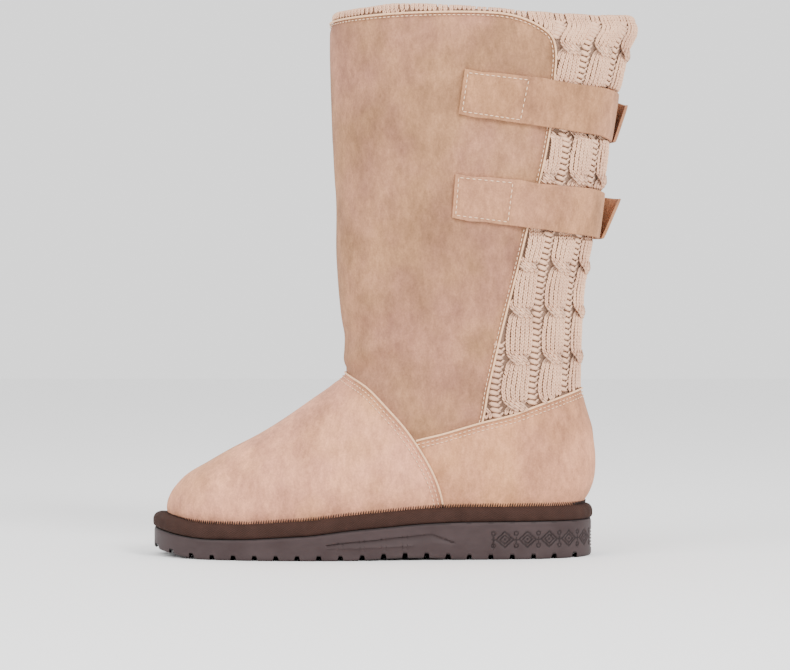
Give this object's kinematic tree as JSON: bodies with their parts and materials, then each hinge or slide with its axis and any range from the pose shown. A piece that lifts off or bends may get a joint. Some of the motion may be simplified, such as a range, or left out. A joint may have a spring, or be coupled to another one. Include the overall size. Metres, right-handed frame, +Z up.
{
  "type": "winter boot",
  "caption": "Left mid-calf winter boot in suede with a cable-knit sleeve, four straps, a wrapped welt band and a wedge rubber sole.",
  "frame": {"origin": "on the floor, under the middle of the heel's resting lug", "axes": "+Z up along the shaft, -X towards the toe, -Y towards the outer side of the left foot"},
  "size_m": [0.302, 0.1134, 0.338],
  "materials": {
    "suede": "napped",
    "knit": "cable knit",
    "fleece_lining": "fleece",
    "sole_rubber": "matt",
    "band_cloth": "woven",
    "piping": "matt",
    "insole_felt": "felt"
  },
  "bodies": {
    "root": {"outsole": "sole_rubber", "welt_band": "band_cloth", "insole": "insole_felt", "upper": "fleece_lining", "vamp": "suede", "heel_counter": "suede", "shaft_panel": "suede", "knit_sleeve": "knit", "vamp_piping": "piping", "counter_piping": "piping", "knit_piping": "piping", "outer_strap_upper": "suede", "inner_strap_upper": "suede", "outer_strap_lower": "suede", "inner_strap_lower": "suede"}
  },
  "joints": []
}
